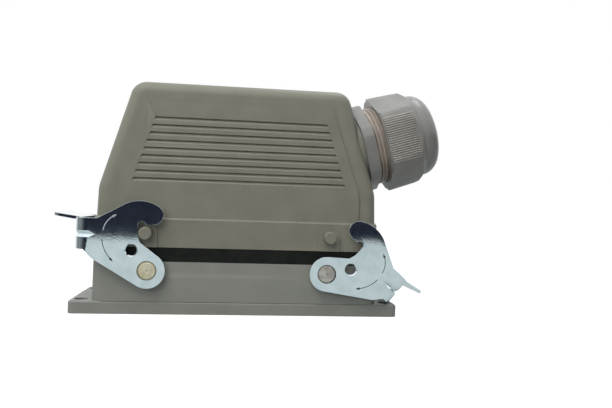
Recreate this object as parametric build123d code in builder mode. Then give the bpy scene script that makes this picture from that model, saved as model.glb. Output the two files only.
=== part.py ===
# Heavy duty rectangular connector: side-entry hood on a bulkhead base with two locking levers.
# Millimetres. X runs along the connector, Y is its depth, Z is up.
# The origin is the centre of the flange's underside.

import os
from math import acos, atan2, cos, degrees, hypot, radians, sin, tan

from build123d import *

os.makedirs("parts", exist_ok=True)

# Contacts in the inserts: their grid sets the size of everything round it
contact_columns = 12
contact_rows = 2
contact_pitch = 7.2
contact_row_pitch = 13.6
chamber_size = 5.4
contact_clearance = 0.1
pin_contact_diameter = 2.5
pin_contact_length = 14.0
socket_clearance = 0.1
socket_overrun = 2.0
terminal_screw_diameter = 3.0
terminal_screw_length = 4.5
female_screw_rise = 7.0
male_screw_rise = 11.0
hidden_round_sides = 8

# Contact inserts
insert_block_margin = 4.8
insert_side_margin = 10.0
insert_end_length = 7.5
insert_clearance = 0.3
insert_fixing_offset = 4.0
insert_fixing_inset = 3.3
insert_corner_radius = 1.5
insert_flange = 4.0
block_clearance = 0.4
female_bottom = 1.0
female_block_height = 20.0
mating_gap = 3.0
male_block_height = 17.0
male_skirt_gap = 2.0
male_skirt_wall = 1.6

# Base walls
base_height = 22.0
base_rim_width = 4.7
base_corner_radius = 5.0
base_draft = 0.5
collar_wall = 1.3
collar_height = 10.0
ledge_depth = 6.0
ledge_floor = 3.0
ledge_inset = 7.2

# Base flange and its fixing holes, 130 by 32 mm apart
flange_side_proud = 0.2
flange_end_margin = 4.5
flange_thickness = 5.3
flange_corner_radius = 2.5
flange_edge_chamfer = 0.6
fixing_end_offset = 4.5
fixing_side_inset = 6.0
fixing_hole_diameter = 5.5

# Gasket groove round the panel cut-out
gasket_width = 2.2
gasket_depth = 1.2
gasket_inset = 1.4
gasket_clearance = 0.05

# Seal between base and hood
seal_height = 6.0
seal_inset = 0.6
seal_clearance = 0.1

# Hood
hood_end_proud = 0.2
hood_side_inset = 0.3
hood_height = 70.1
skirt_height = 12.5
skirt_corner_radius = 6.0
skirt_side_step = 1.4
skirt_end_step = 0.9
skirt_edge_height = 0.8
skirt_edge_taper = 40.0
hood_draft = 1.65
hood_bend_height = 25.0
hood_bend_radius = 14.0
end_slant = 16.5
top_corner_radius = 7.0
hood_edge_radius = 5.0
hood_wall = 2.5
collar_clearance = 0.35

# Raised side panels of the hood and their grooves
panel_proud = 0.8
panel_end_margin = 8.4
panel_slant = 19.1
panel_top_margin = 8.7
panel_corner_radius = 4.0
groove_rows = 9
groove_pitch = 3.23
groove_width = 2.1
groove_depth = 0.85
groove_lip = 0.3
groove_top_margin = 6.4
groove_end_margin = 4.6
groove_slant = 17.9

# Locking pegs cast on the hood's skirt
peg_offset = 1.0
peg_skirt_height = 5.9
peg_diameter = 5.3
peg_length = 5.2
peg_pad_width = 9.0
peg_pad_thickness = 0.7
peg_edge_chamfer = 0.35

# Locking levers and their pivot pins
pivot_end_distance = 22.9
pivot_drop = 3.55
pin_diameter = 7.8
pin_edge_chamfer = 0.7
pin_shank_diameter = 5.6
pin_shoulder_step = 1.1
pin_recess = 0.1
pin_seat_depth = 0.2
pivot_clearance = 0.1
lever_sheet = 1.3
lever_side_gap = 1.5
lever_end_gap = 5.6
lever_cheek_clearance = 0.15
lever_open_angle = 40.0
lever_nose_radius = 7.4
lever_bridge_bottom = 8.3
lever_bridge_top = 21.2
lever_bend_radius = 6.5
lever_bead_height = 14.6
lever_bead_depth = 0.9
lever_bead_half_width = 1.3
lever_bead_run = 2.3
lever_bead_lead = 0.2
lever_hole_diameter = 4.4
lever_hole_reach = 6.5
lever_hole_rise = 8.4
lever_hole_chamfer = 0.5
lever_slot_clearance = 0.35
lever_slot_foot = 11.4
lever_slot_flare = 1.2
lever_slot_flare_height = 4.2
lever_slot_bow = 0.36
lever_relief_width = 3.3
lever_relief_rise = 1.5
lever_hook_clearance = 0.75
lever_hook_under = 2.0
lever_hook_tip = 6.1
lever_hook_tip_rise = 4.0
lever_hook_back = 3.6
lever_hook_back_rise = 8.1
lever_crest_reach = 2.6
lever_crest_rise = 9.9
lever_shoulder_reach = 8.6
lever_shoulder_rise = 8.85
lever_slope_foot = 9.6
lever_heel_length = 4.3
lever_toe_length = 7.8
lever_toe_height = 4.7
tab_length = 10.4
tab_side_inset = 8.0
tab_corner_radius = 4.0
tab_rise = 9.0

# Earth plates and insert screws
plate_thickness = 1.2
plate_end_inset = 0.8
plate_side_inset = 0.8
earth_blade_width = 7.0
earth_blade_length = 17.0
earth_clip_thickness = 1.0
earth_clip_height = 9.0
earth_screw_offset = 6.9
earth_screw_diameter = 3.0
earth_screw_length = 4.5
earth_screw_head = 5.6
earth_screw_head_height = 1.8
insert_screw_diameter = 3.9
insert_screw_head = 6.6
insert_screw_head_height = 2.6
insert_screw_length = 12.0
screw_clearance = 0.1
post_diameter = 8.0

# Cable gland on the slanted wall, sized outwards from the bush that grips the cable
gland_drop = 24.2
seal_bush_bore = 19.0
seal_bush_wall = 4.1
seal_bush_start = 9.0
gland_seat_step = 1.1
claw_count = 10
claw_length = 9.0
claw_slot = 1.6
claw_wall = 2.0
gland_neck_step = 1.6
gland_neck_length = 16.0
gland_thread_depth = 0.6
gland_entry_step = 1.5
gland_entry_length = 8.4
gland_entry_clearance = 0.15
gland_washer_thickness = 0.6
gland_washer_width = 1.6
gland_pad_step = 0.3
gland_pad_height = 0.2
gland_boss_depth = 8.0
gland_hex_step = 1.2
gland_hex_corner = 1.5
gland_hex_length = 5.0
gland_hex_turn = 12.0
nut_start = 10.5
nut_clearance = 0.1
nut_flat_wall = 1.9
nut_corner = 2.1
nut_corner_taper = 0.7
nut_hex_length = 14.7
nut_shoulder_length = 2.8
nut_shoulder_step = 1.0
nut_dome_length = 7.8
nut_dome_bulge = 1.7
nut_lip = 1.0
nut_rim = 1.0
nut_wall = 2.6
nut_hex_turn = 0.0
nut_chamfer = 1.0

# Tools that cut are longer than what they cut by this much
cut_overrun = 1.0
edge_search = 0.01

# Sizes of the inserts and of the space they stand in
insert_block_length = contact_columns * contact_pitch + 2 * insert_block_margin
insert_length = insert_block_length + 2 * insert_end_length
insert_width = contact_row_pitch + 2 * insert_side_margin
insert_fixing_x = insert_block_length + 2 * insert_fixing_offset
insert_fixing_y = insert_width - 2 * insert_fixing_inset
female_block_length = insert_block_length - 2 * (male_skirt_wall + block_clearance)
female_block_width = insert_width - 2 * (male_skirt_wall + block_clearance)
cavity_length = insert_length + 2 * insert_clearance
cavity_width = insert_width + 2 * insert_clearance
collar_length = cavity_length + 2 * collar_wall
collar_width = cavity_width + 2 * collar_wall

# Base, flange and hood round that space
base_length = cavity_length + 2 * base_rim_width
base_width = cavity_width + 2 * base_rim_width
flange_width = base_width + 2 * flange_side_proud
fixing_pitch_x = base_length + 2 * fixing_end_offset
fixing_pitch_y = flange_width - 2 * fixing_side_inset
flange_length = fixing_pitch_x + 2 * flange_end_margin
hood_length = base_length + 2 * hood_end_proud
hood_width = base_width - 2 * hood_side_inset
body_half_length = hood_length / 2 - skirt_end_step
body_half_width = hood_width / 2 - skirt_side_step

# Heights, from the panel face upwards
ledge_height = base_height - ledge_depth
collar_top = base_height + collar_height
female_flange_top = ledge_height + insert_flange
female_top = female_flange_top + female_block_height
male_face = female_top + mating_gap
male_flange_top = male_face + insert_flange
male_top = male_face + male_block_height
male_skirt_bottom = female_flange_top + male_skirt_gap
female_screw_height = female_bottom + female_screw_rise
male_screw_height = male_face + male_screw_rise
hood_bottom = base_height + seal_height
ledge_line = hood_bottom + skirt_height
bend_line = hood_bottom + hood_bend_height
hood_top = hood_bottom + hood_height

# Raised panels and grooves, heights above the hood's rim
panel_half_length = body_half_length - panel_end_margin
panel_top_height = hood_height - panel_top_margin
panel_top_half = panel_half_length - (panel_top_height - hood_bend_height) * tan(radians(panel_slant))
groove_top_height = panel_top_height - groove_top_margin
groove_half_length = panel_top_half + groove_top_margin * tan(radians(panel_slant)) - groove_end_margin

# Levers, pivots and pegs
pivot_spacing = base_length - 2 * pivot_end_distance
pivot_height = base_height - pivot_drop
peg_spacing = pivot_spacing + 2 * peg_offset
peg_height = hood_bottom + peg_skirt_height
pin_shoulder_diameter = pin_diameter + 2 * pin_shoulder_step
lever_inner_half = hood_width / 2 + peg_pad_thickness + lever_side_gap
lever_span = 2 * (lever_inner_half + lever_sheet)
lever_bridge_reach = (hood_length - pivot_spacing) / 2 + lever_end_gap + lever_sheet
lever_block_half = lever_span + lever_bridge_reach
tab_width = lever_span - 2 * tab_side_inset
plate_length = insert_end_length - contact_clearance - plate_end_inset
plate_width = insert_width - 2 * plate_side_inset

# Gland, from the bush outwards
gland_height = hood_top - gland_drop
seal_bush_diameter = seal_bush_bore + 2 * seal_bush_wall
gland_bore_diameter = seal_bush_diameter - 2 * gland_seat_step
claw_bore_diameter = seal_bush_diameter + 2 * contact_clearance
claw_diameter = claw_bore_diameter + 2 * claw_wall
gland_neck_diameter = claw_diameter + 2 * gland_neck_step
gland_entry_diameter = gland_neck_diameter - 2 * gland_entry_step
gland_hex_across_flats = gland_neck_diameter + 2 * gland_hex_step
gland_hex_diameter = gland_hex_across_flats + 2 * gland_hex_corner
gland_washer_diameter = gland_entry_diameter + 2 * gland_washer_width
gland_pad_diameter = gland_washer_diameter + 2 * gland_pad_step
nut_bore_diameter = gland_neck_diameter + 2 * (gland_thread_depth + nut_clearance)
nut_across_flats = nut_bore_diameter + 2 * nut_flat_wall
nut_diameter = nut_across_flats + 2 * nut_corner
nut_dome_diameter = nut_across_flats - 2 * nut_shoulder_step
nut_mouth_diameter = seal_bush_diameter - 2 * nut_lip
nut_end_diameter = nut_mouth_diameter + 2 * nut_rim


def hood_end(z):
    """Half length of the hood's body at a height, below the bend."""
    return body_half_length - (z - ledge_line) * tan(radians(hood_draft))


def hood_side(z):
    """Half width of the hood's body at a height."""
    return body_half_width - (z - ledge_line) * tan(radians(hood_draft))


def slant_end(z):
    """Half length of the hood's body at a height above the bend."""
    return hood_end(bend_line) - (z - bend_line) * tan(radians(end_slant))


def hidden_round(diameter):
    """Section of a small turned piece inside the insert, with few faces."""
    return RegularPolygon(diameter / 2, hidden_round_sides)


def contact_grid():
    """Places of the contacts in an insert."""
    return GridLocations(contact_pitch, contact_row_pitch, contact_columns, contact_rows)


def insert_screw_grid():
    """Places of the four screws that hold an insert."""
    return GridLocations(insert_fixing_x, insert_fixing_y, 2, 2)


# Base housing: flange, drafted walls, collar, ledges for the insert
pin_seat = base_width / 2 - (pivot_height - flange_thickness) * tan(radians(base_draft)) - pin_seat_depth
opening_length = insert_block_length + 2 * insert_clearance

with BuildPart() as base_housing:
    with BuildSketch():
        RectangleRounded(flange_length, flange_width, flange_corner_radius)
    extrude(amount=flange_thickness)
    flange_rim = base_housing.faces().sort_by(Axis.Z)[-1].outer_wire()
    chamfer(flange_rim.edges(), length=flange_edge_chamfer)
    with BuildSketch(Plane.XY.offset(flange_thickness)):
        RectangleRounded(base_length, base_width, base_corner_radius)
    extrude(amount=base_height - flange_thickness, taper=base_draft)
    with BuildSketch(Plane.XY.offset(base_height)):
        RectangleRounded(collar_length, collar_width, insert_corner_radius + collar_wall)
    extrude(amount=collar_height)
    with BuildSketch(Plane.XY.offset(ledge_height)):
        RectangleRounded(cavity_length, cavity_width, insert_corner_radius)
    extrude(amount=collar_top - ledge_height, mode=Mode.SUBTRACT)
    with BuildSketch():
        RectangleRounded(opening_length, cavity_width, insert_corner_radius)
    extrude(amount=ledge_height, mode=Mode.SUBTRACT)
    # Pocket under each end ledge, between its two screw posts
    pocket_width = insert_fixing_y - post_diameter
    with BuildSketch():
        with Locations((opening_length / 2 + ledge_inset / 2, 0), (-opening_length / 2 - ledge_inset / 2, 0)):
            Rectangle(ledge_inset, pocket_width)
    extrude(amount=ledge_height - ledge_floor, mode=Mode.SUBTRACT)
    # Threaded holes for the insert screws
    with BuildSketch(Plane.XY.offset(ledge_height)):
        with insert_screw_grid():
            Circle(insert_screw_diameter / 2 + screw_clearance)
    extrude(amount=-insert_screw_length, mode=Mode.SUBTRACT)
    # Groove for the panel gasket
    with BuildSketch():
        RectangleRounded(
            cavity_length + 2 * (gasket_inset + gasket_width),
            cavity_width + 2 * (gasket_inset + gasket_width),
            insert_corner_radius + gasket_inset + gasket_width,
        )
        RectangleRounded(
            cavity_length + 2 * gasket_inset,
            cavity_width + 2 * gasket_inset,
            insert_corner_radius + gasket_inset,
            mode=Mode.SUBTRACT,
        )
    extrude(amount=gasket_depth, mode=Mode.SUBTRACT)
    # Fixing holes
    with BuildSketch():
        with GridLocations(fixing_pitch_x, fixing_pitch_y, 2, 2):
            Circle(fixing_hole_diameter / 2)
    extrude(amount=flange_thickness, mode=Mode.SUBTRACT)
    # Bores and spot faces for the lever pivots
    with BuildSketch(Plane.XZ):
        with Locations((pivot_spacing / 2, pivot_height), (-pivot_spacing / 2, pivot_height)):
            Circle(pin_shank_diameter / 2)
    extrude(amount=flange_width, both=True, mode=Mode.SUBTRACT)
    for side in (-1, 1):
        with BuildSketch(Plane.XZ.offset(side * pin_seat)):
            with Locations((pivot_spacing / 2, pivot_height), (-pivot_spacing / 2, pivot_height)):
                Circle(pin_shoulder_diameter / 2 + screw_clearance)
        extrude(amount=side * flange_width, mode=Mode.SUBTRACT)

base_housing.part.label = "base_housing"
export_step(base_housing.part, "parts/base_housing.step")


# Flat gasket pressed into the groove under the flange
with BuildPart() as flange_gasket:
    with BuildSketch():
        RectangleRounded(
            cavity_length + 2 * (gasket_inset + gasket_width - gasket_clearance),
            cavity_width + 2 * (gasket_inset + gasket_width - gasket_clearance),
            insert_corner_radius + gasket_inset + gasket_width - gasket_clearance,
        )
        RectangleRounded(
            cavity_length + 2 * (gasket_inset + gasket_clearance),
            cavity_width + 2 * (gasket_inset + gasket_clearance),
            insert_corner_radius + gasket_inset + gasket_clearance,
            mode=Mode.SUBTRACT,
        )
    extrude(amount=gasket_depth)

flange_gasket.part.label = "flange_gasket"
export_step(flange_gasket.part, "parts/flange_gasket.step")


# Seal that the hood's rim presses on the base's rim
with BuildPart() as housing_seal:
    with BuildSketch(Plane.XY.offset(base_height)):
        RectangleRounded(
            base_length - 2 * seal_inset,
            base_width - 2 * seal_inset,
            base_corner_radius - seal_inset,
        )
        RectangleRounded(
            collar_length + 2 * seal_clearance,
            collar_width + 2 * seal_clearance,
            insert_corner_radius + collar_wall + seal_clearance,
            mode=Mode.SUBTRACT,
        )
    extrude(amount=seal_height)

housing_seal.part.label = "housing_seal"
export_step(housing_seal.part, "parts/housing_seal.step")


# Pivot pins: shank pressed into the wall, shoulder, journal for the lever
with BuildPart() as lever_pivot_pins:
    for along in (-1, 1):
        for side in (-1, 1):
            axis_point = (along * pivot_spacing / 2, 0, pivot_height)
            pin_plane = Plane(origin=axis_point, x_dir=(1, 0, 0), z_dir=(0, side, 0))
            shoulder_end = lever_inner_half - lever_cheek_clearance
            with BuildSketch(pin_plane.offset(cavity_width / 2 + screw_clearance)):
                Circle(pin_shank_diameter / 2)
            extrude(amount=pin_seat - cavity_width / 2 - screw_clearance)
            with BuildSketch(pin_plane.offset(pin_seat)):
                Circle(pin_shoulder_diameter / 2)
            extrude(amount=shoulder_end - pin_seat)
            with BuildSketch(pin_plane.offset(shoulder_end)):
                Circle(pin_diameter / 2)
            extrude(amount=lever_span / 2 - pin_recess - shoulder_end)
    pin_faces = lever_pivot_pins.faces().sort_by(Axis.Y)
    pin_ends = [edge for face in (*pin_faces[:2], *pin_faces[-2:]) for edge in face.edges()]
    chamfer(pin_ends, length=pin_edge_chamfer)

lever_pivot_pins.part.label = "lever_pivot_pins"
export_step(lever_pivot_pins.part, "parts/lever_pivot_pins.step")


# Locking lever, pressed from one sheet: two hooked cheeks, a beaded bridge and a thumb tab
peg_rise = peg_height - pivot_height
slot_edge = peg_offset + peg_diameter / 2 + lever_slot_clearance
hook_line = peg_rise + peg_diameter / 2 + lever_hook_clearance


def nose_tangent(reach, rise, turn):
    """Where a line from an outside point touches the round nose about the pivot."""
    angle = atan2(rise, reach) + turn * acos(lever_nose_radius / hypot(reach, rise))
    return (lever_nose_radius * cos(angle), lever_nose_radius * sin(angle))


def lever_outline():
    """Side outline of the closed lever: reach outwards and rise above its pivot."""
    slot_foot = (slot_edge - lever_slot_flare, lever_slot_foot)
    flare_middle = (slot_edge - lever_slot_bow, lever_slot_foot + lever_slot_flare_height / 2)
    flare_end = (slot_edge, lever_slot_foot + lever_slot_flare_height)
    toe = (lever_bridge_reach - lever_toe_length, lever_toe_height)
    nose_front = nose_tangent(*slot_foot, 1)
    nose_back = nose_tangent(*toe, -1)
    notch_middle = slot_edge - lever_relief_width / 2
    with BuildLine() as outline:
        front = Line(nose_front, slot_foot)
        flare = ThreePointArc(front @ 1, flare_middle, flare_end)
        slot = Line(flare @ 1, (slot_edge, hook_line))
        relief = ThreePointArc(
            slot @ 1,
            (notch_middle, hook_line + lever_relief_rise),
            (slot_edge - lever_relief_width, hook_line),
        )
        under = Line(relief @ 1, (-lever_hook_under, hook_line))
        tip = ThreePointArc(
            under @ 1,
            (-lever_hook_tip, hook_line + lever_hook_tip_rise),
            (-lever_hook_back, hook_line + lever_hook_back_rise),
        )
        back = ThreePointArc(
            tip @ 1,
            (lever_crest_reach, hook_line + lever_crest_rise),
            (lever_shoulder_reach, hook_line + lever_shoulder_rise),
        )
        slope = Line(back @ 1, (lever_bridge_reach - lever_slope_foot, lever_bridge_top))
        top = Line(slope @ 1, (lever_bridge_reach, lever_bridge_top))
        end = Line(top @ 1, (lever_bridge_reach, lever_bridge_bottom))
        heel = Line(end @ 1, (lever_bridge_reach - lever_heel_length, lever_bridge_bottom))
        step = Line(heel @ 1, toe)
        lower = Line(step @ 1, nose_back)
        ThreePointArc(lower @ 1, nose_point(nose_front, nose_back), nose_front)
    return outline.line


def nose_point(front, back):
    """Middle of the nose's arc, on the side away from the bridge."""
    middle = atan2(front[1] + back[1], front[0] + back[0])
    return (lever_nose_radius * cos(middle), lever_nose_radius * sin(middle))


def lever_directions(side, opening):
    """The lever's pivot and its own directions: outwards from the housing, and up."""
    turn = radians(opening)
    outwards = Vector(side * cos(turn), 0, -sin(turn))
    upwards = Vector(side * sin(turn), 0, cos(turn))
    return Vector(side * pivot_spacing / 2, 0, pivot_height), outwards, upwards


def skin_block(side, opening, inset):
    """Block that fills one skin of the sheet, pinched by the bead across the bridge and its bends."""
    pivot, outwards, upwards = lever_directions(side, opening)
    middle = pivot + upwards * lever_bead_height
    plan_plane = Plane(origin=middle, x_dir=outwards, z_dir=upwards)
    reach = lever_bridge_reach - inset
    half = lever_span / 2 - inset
    bead_root = lever_bridge_reach - lever_bend_radius - lever_bead_lead
    bead_end = bead_root - lever_bead_run
    with BuildSketch(plan_plane) as plan:
        Polygon(
            (-lever_block_half, half),
            (reach, half),
            (reach, -half),
            (-lever_block_half, -half),
            align=None,
        )
        fillet(plan.vertices().group_by(Axis.X)[-1], radius=lever_bend_radius - inset)
    with BuildPart() as block:
        extrude(plan.sketch, amount=lever_block_half, both=True)
        with BuildSketch(plan_plane):
            Rectangle(2 * lever_block_half, 2 * lever_block_half)
        extrude(amount=lever_bead_half_width, both=True, mode=Mode.SUBTRACT)
        for up in (upwards, upwards * -1):
            with BuildSketch(Plane(origin=middle, x_dir=outwards, z_dir=up)) as pinched:
                Polygon(
                    (-lever_block_half, half),
                    (bead_end, half),
                    (bead_root, half - lever_bead_depth),
                    (reach - lever_bead_depth, half - lever_bead_depth),
                    (reach - lever_bead_depth, lever_bead_depth - half),
                    (bead_root, lever_bead_depth - half),
                    (bead_end, -half),
                    (-lever_block_half, -half),
                    align=None,
                )
                bends = pinched.vertices().group_by(Axis.X)[-1]
                fillet(bends, radius=lever_bend_radius - inset - lever_bead_depth)
            bead_slope = degrees(atan2(lever_bead_depth, lever_bead_half_width))
            extrude(amount=lever_bead_half_width, taper=-bead_slope)
        extrude(plan.sketch, amount=lever_block_half, both=True, mode=Mode.INTERSECT)
    return block.part


def make_lever(side, opening):
    """The lever on one end of the base, turned outwards from its closed place."""
    pivot, outwards, upwards = lever_directions(side, opening)
    side_plane = Plane(origin=pivot, x_dir=outwards, z_dir=(0, -side, 0))
    outer_skin = skin_block(side, opening, 0)
    inner_skin = skin_block(side, opening, lever_sheet)
    with BuildPart() as lever:
        with BuildSketch(side_plane):
            make_face(lever_outline())
        extrude(amount=lever_span / 2, both=True)
        add(outer_skin, mode=Mode.INTERSECT)
        add(inner_skin, mode=Mode.SUBTRACT)
        with BuildSketch(side_plane):
            Circle(pin_diameter / 2 + pivot_clearance)
            with Locations((lever_hole_reach, lever_hole_rise)):
                Circle(lever_hole_diameter / 2)
        extrude(amount=lever_span, both=True, mode=Mode.SUBTRACT)
        rims = lever.edges().filter_by(GeomType.CIRCLE)
        rims = rims.filter_by(lambda edge: abs(edge.radius - lever_hole_diameter / 2) < edge_search)
        rims = rims.sort_by(Axis.Y)
        chamfer([rims[0], rims[-1]], length=lever_hole_chamfer)
        # Thumb tab bent out of the bridge's top edge
        rise = radians(tab_rise)
        tab_root = pivot + outwards * (lever_bridge_reach - lever_sheet)
        tab_root += upwards * (lever_bridge_top - lever_sheet)
        tab_out = outwards * cos(rise) + upwards * sin(rise)
        tab_up = upwards * cos(rise) - outwards * sin(rise)
        with BuildSketch(Plane(origin=tab_root, x_dir=tab_out, z_dir=tab_up)):
            with Locations(((tab_length + lever_sheet) / 2, 0)):
                tab = Rectangle(tab_length + lever_sheet, tab_width)
            fillet(tab.vertices().group_by(Axis.X)[-1], radius=tab_corner_radius)
        extrude(amount=lever_sheet)
    return lever


left_lever = make_lever(-1, 0)
left_lever.part.label = "left_lever"
export_step(left_lever.part, "parts/left_lever.step")

right_lever = make_lever(1, lever_open_angle)
right_lever.part.label = "right_lever"
export_step(right_lever.part, "parts/right_lever.step")


# Hood: drafted box with slanted ends, skirt, raised grooved panels, pegs and gland boss
gland_lean = radians(end_slant)
gland_centre = Vector(slant_end(gland_height), 0, gland_height)
gland_out = Vector(cos(gland_lean), 0, sin(gland_lean))
gland_up = Vector(-sin(gland_lean), 0, cos(gland_lean))
gland_axis = Axis(gland_centre, gland_out)


def side_wall_plane(side, proud):
    """Plane on the hood's drafted side wall, or proud of it, with Y up the wall from the ledge."""
    lean = radians(hood_draft)
    out = Vector(0, side * cos(lean), sin(lean))
    foot = Vector(0, side * body_half_width, ledge_line) + out * proud
    return Plane(origin=foot, x_dir=(-side, 0, 0), z_dir=out)


def up_wall(height):
    """Distance up the side wall from the ledge, for a height above the hood's rim."""
    return (height - skirt_height) / cos(radians(hood_draft))


def gland_plane(distance):
    """Plane across the gland's axis, at a distance outside the slanted wall."""
    return Plane(origin=gland_centre + gland_out * distance, x_dir=gland_up, z_dir=gland_out)


# Grooves of both raised panels, as one cutting body whose ends lean like the panel's
groove_foot_height = groove_top_height - groove_rows * groove_pitch
groove_foot_half = groove_half_length + groove_rows * groove_pitch * tan(radians(groove_slant))

with BuildPart() as panel_grooves:
    for side in (-1, 1):
        face = side_wall_plane(side, panel_proud)
        for row in range(groove_rows):
            top = up_wall(groove_top_height - row * groove_pitch)
            mouth = face.from_local_coords((0, top, groove_lip))
            deep = face.from_local_coords((0, top - groove_lip, -groove_depth))
            foot = face.from_local_coords((0, top - groove_width, groove_lip))
            with BuildSketch(Plane.YZ):
                Polygon((mouth.Y, mouth.Z), (deep.Y, deep.Z), (foot.Y, foot.Z), align=None)
            extrude(amount=body_half_length, both=True)
    with BuildSketch(Plane.XZ):
        Polygon(
            (groove_half_length, hood_bottom + groove_top_height + groove_lip),
            (groove_foot_half, hood_bottom + groove_foot_height),
            (-groove_foot_half, hood_bottom + groove_foot_height),
            (-groove_half_length, hood_bottom + groove_top_height + groove_lip),
            align=None,
        )
    extrude(amount=hood_width, both=True, mode=Mode.INTERSECT)


def hood_box(inset, bottom):
    """The hood's drafted, slanted and rounded form, inset by a wall."""
    slant_inset = inset / cos(radians(end_slant))
    foot_half = hood_end(bottom) - inset
    bend_half = hood_end(bend_line) - inset
    top_half = slant_end(hood_top - inset) - slant_inset
    with BuildPart() as box:
        with BuildSketch(Plane.XZ) as outline:
            Polygon(
                (foot_half, bottom),
                (bend_half, bend_line),
                (top_half, hood_top - inset),
                (-top_half, hood_top - inset),
                (-bend_half, bend_line),
                (-foot_half, bottom),
                align=None,
            )
            fillet(outline.vertices().group_by(Axis.Y)[-1], radius=top_corner_radius - inset)
            bends = outline.vertices().group_by(Axis.Y)[1]
            fillet(bends, radius=hood_bend_radius)
        extrude(amount=hood_width, both=True)
        with BuildSketch(Plane.YZ):
            Polygon(
                (hood_side(bottom) - inset, bottom),
                (hood_side(hood_top) - inset, hood_top),
                (inset - hood_side(hood_top), hood_top),
                (inset - hood_side(bottom), bottom),
                align=None,
            )
        extrude(amount=hood_length, both=True, mode=Mode.INTERSECT)
        sides = box.faces().sort_by(Axis.Y)
        side_edges = [*sides[0].edges(), *sides[-1].edges()]
        rim = [edge for edge in side_edges if edge.center().Z > bottom + edge_search]
        fillet(rim, radius=hood_edge_radius - inset)
    return box


outer_box = hood_box(0, hood_bottom)
inner_box = hood_box(hood_wall, hood_bottom - cut_overrun)

# Inside of the hood, which leaves its screw posts and the gland's boss standing
with BuildPart() as hood_hollow:
    add(inner_box.part)
    with BuildSketch(Plane.XY.offset(male_flange_top)):
        with insert_screw_grid():
            Circle(post_diameter / 2)
    extrude(amount=hood_top, mode=Mode.SUBTRACT)
    with BuildSketch(gland_plane(-gland_boss_depth)):
        Circle(gland_washer_diameter / 2)
    extrude(amount=hood_height, mode=Mode.SUBTRACT)

with BuildPart() as hood:
    add(outer_box.part)
    # Skirt round the rim, with a chamfered ledge on top
    with BuildSketch(Plane.XY.offset(hood_bottom)):
        RectangleRounded(hood_length, hood_width, skirt_corner_radius)
    extrude(amount=skirt_height - skirt_edge_height)
    with BuildSketch(Plane.XY.offset(ledge_line - skirt_edge_height)):
        RectangleRounded(hood_length, hood_width, skirt_corner_radius)
    extrude(amount=skirt_edge_height, taper=skirt_edge_taper)
    # Raised panels on both long sides
    for side in (-1, 1):
        with BuildSketch(side_wall_plane(side, panel_proud)) as panel:
            Polygon(
                (panel_half_length, -cut_overrun),
                (panel_half_length, up_wall(hood_bend_height)),
                (panel_top_half, up_wall(panel_top_height)),
                (-panel_top_half, up_wall(panel_top_height)),
                (-panel_half_length, up_wall(hood_bend_height)),
                (-panel_half_length, -cut_overrun),
                align=None,
            )
            fillet(panel.vertices().group_by(Axis.Y)[-1], radius=panel_corner_radius)
        extrude(amount=-panel_proud - hood_wall / 2)
    add(panel_grooves.part, mode=Mode.SUBTRACT)
    # Flat pad that the gland seats on
    with BuildSketch(gland_plane(-gland_boss_depth / 2)):
        Circle(gland_pad_diameter / 2)
    extrude(amount=gland_boss_depth / 2 + gland_pad_height)
    add(hood_hollow.part, mode=Mode.SUBTRACT)
    # Room for the base's collar
    with BuildSketch(Plane.XY.offset(hood_bottom)):
        RectangleRounded(
            collar_length + 2 * collar_clearance,
            collar_width + 2 * collar_clearance,
            insert_corner_radius + collar_wall + collar_clearance,
        )
    extrude(amount=collar_top - hood_bottom + collar_clearance, mode=Mode.SUBTRACT)
    # Threaded holes for the insert screws and the gland's entry
    with BuildSketch(Plane.XY.offset(male_flange_top)):
        with insert_screw_grid():
            Circle(insert_screw_diameter / 2 + screw_clearance)
    extrude(amount=insert_screw_length, mode=Mode.SUBTRACT)
    with BuildSketch(gland_plane(gland_pad_height)):
        Circle(gland_entry_diameter / 2 + gland_entry_clearance)
    extrude(amount=-2 * gland_boss_depth, mode=Mode.SUBTRACT)
    # Pegs with arched root pads
    for side in (-1, 1):
        with BuildSketch(Plane.XZ.offset(side * (hood_width / 2 - hood_wall / 2))):
            with Locations((peg_spacing / 2, peg_height), (-peg_spacing / 2, peg_height)):
                Circle(peg_pad_width / 2)
            with Locations(
                (peg_spacing / 2, (hood_bottom + peg_height) / 2),
                (-peg_spacing / 2, (hood_bottom + peg_height) / 2),
            ):
                Rectangle(peg_pad_width, peg_height - hood_bottom)
        extrude(amount=side * (peg_pad_thickness + hood_wall / 2))
        with BuildSketch(Plane.XZ.offset(side * hood_width / 2)):
            with Locations((peg_spacing / 2, peg_height), (-peg_spacing / 2, peg_height)):
                Circle(peg_diameter / 2)
        extrude(amount=side * peg_length)
    peg_faces = hood.faces().sort_by(Axis.Y)
    peg_ends = [edge for face in (*peg_faces[:2], *peg_faces[-2:]) for edge in face.edges()]
    chamfer(peg_ends, length=peg_edge_chamfer)

hood.part.label = "hood"
export_step(hood.part, "parts/hood.step")


# Female insert in the base: terminal block, end flanges, mating block with 24 chambers
def side_windows(height):
    """Outline of the row of holes over the terminal screws, at a height."""
    with BuildSketch(Plane.XZ) as windows:
        with Locations((0, height)):
            with GridLocations(contact_pitch, 1, contact_columns, 1):
                hidden_round(terminal_screw_diameter + 2 * screw_clearance)
    return windows.sketch


def flange_holes(bottom):
    """Outline of the insert screws' and earth screws' holes through a flange or plate."""
    with BuildSketch(Plane.XY.offset(bottom)) as holes:
        with insert_screw_grid():
            hidden_round(insert_screw_diameter + 2 * screw_clearance)
        with Locations(*earth_screw_places):
            hidden_round(earth_screw_diameter + 2 * screw_clearance)
    return holes.sketch


earth_screw_places = [(insert_fixing_x / 2, earth_screw_offset), (-insert_fixing_x / 2, -earth_screw_offset)]

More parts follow.
